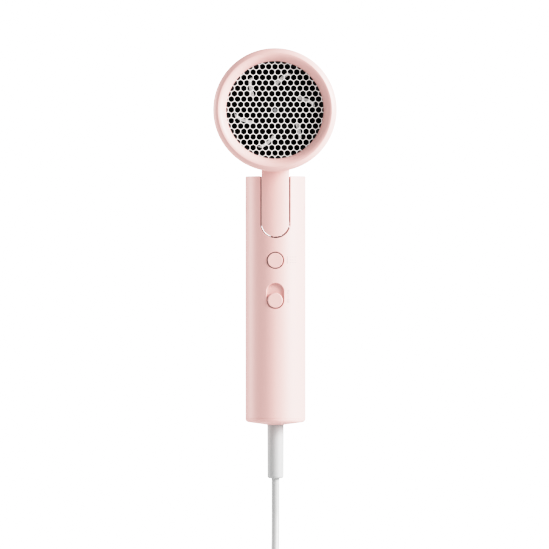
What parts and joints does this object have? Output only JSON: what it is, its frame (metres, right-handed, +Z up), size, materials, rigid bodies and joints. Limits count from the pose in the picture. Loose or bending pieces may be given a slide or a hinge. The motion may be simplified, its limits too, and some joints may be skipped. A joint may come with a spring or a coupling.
{
  "type": "travel hair dryer",
  "caption": "Folding travel hair dryer: a round tapered head with a honeycomb intake folds on a tubular handle with a slide switch, a push button and a hank of supply cord.",
  "frame": {"origin": "on the handle's axis at the middle of the grip", "axes": "+Z up the handle, +Y the way the air leaves the barrel, -Y the intake and control side, +X to the right of someone facing the intake"},
  "size_m": [0.0762, 0.125, 0.5187],
  "materials": {
    "pink_shell": "satin",
    "white_mesh": "satin",
    "white_rubber": "matte",
    "white_plug": "satin",
    "black_plastic": "matte",
    "grey_plastic": "matte",
    "steel": "brushed",
    "plated_pins": "polished",
    "bush_brass": "machined",
    "spring_steel": "bright",
    "circuit_board": "lacquered",
    "wire_cover": "satin",
    "fan_black": "gloss",
    "mica": "flaky",
    "heating_wire": "oxidised",
    "tie_strap": "matte"
  },
  "bodies": {
    "handle": {"handle_sleeve": "pink_shell", "handle_end_cap": "pink_shell", "hinge_yoke": "grey_plastic", "pivot_cap_left": "pink_shell", "pivot_cap_right": "pink_shell", "hinge_pin_left": "steel", "hinge_pin_right": "steel", "hinge_wave_washers": "spring_steel", "yoke_screws": "steel", "switch_carrier": "grey_plastic", "control_board": "circuit_board", "board_screws": "steel", "speed_switch": "black_plastic", "temp_switch": "black_plastic", "handle_wires": "wire_cover", "cord_inner_end": "white_rubber", "cord_clamp": "grey_plastic", "cord_clamp_screws": "steel", "strain_relief": "white_rubber", "mains_cord": "white_rubber", "cord_hank": "white_rubber", "cord_tie": "tie_strap", "plug_lead": "white_rubber", "plug_body": "white_plug", "plug_pins": "plated_pins", "temp_button_spring": "spring_steel"},
    "temp_button": {"temp_button_cap": "pink_shell"},
    "speed_slider": {"slider_knob": "pink_shell", "slider_shutter": "pink_shell", "speed_switch_lever": "black_plastic"},
    "head": {"neck_rear_shell": "pink_shell", "neck_front_shell": "pink_shell", "neck_screws": "steel", "hinge_bush_left": "bush_brass", "hinge_bush_right": "bush_brass", "barrel_shell": "pink_shell", "intake_ring": "pink_shell", "intake_mesh": "white_mesh", "mesh_retainer": "black_plastic", "fan_duct": "black_plastic", "motor_mount": "black_plastic", "motor_can": "steel", "motor_end_bell": "black_plastic", "rectifier_board": "circuit_board", "heater_tube": "mica", "heater_frame": "mica", "heater_coils": "heating_wire", "thermostat": "steel", "thermal_fuse": "white_plug", "outlet_ring": "black_plastic", "outlet_grille": "black_plastic", "head_wires": "wire_cover"},
    "fan": {"fan_impeller": "fan_black", "motor_shaft": "steel"}
  },
  "joints": [
    {"name": "head_fold", "type": "hinge", "parent": "handle", "child": "head", "pos_m": [0, 0, 0.0576], "axis": [-1, 0, 0], "range_deg": [0, 90]},
    {"name": "fan_spin", "type": "hinge", "parent": "head", "child": "fan", "pos_m": [0, -0.036, 0.1176], "axis": [0, 1, 0], "continuous": true},
    {"name": "temp_button_press", "type": "slide", "parent": "handle", "child": "temp_button", "axis": [0, 1, 0], "range_m": [0, 0.0012], "stiffness_N_per_m": 600, "springref_m": -0.001, "deforming": ["temp_button_spring"]},
    {"name": "speed_slide", "type": "slide", "parent": "handle", "child": "speed_slider", "axis": [0, 0, 1], "range_m": [0, 0.0055]}
  ]
}
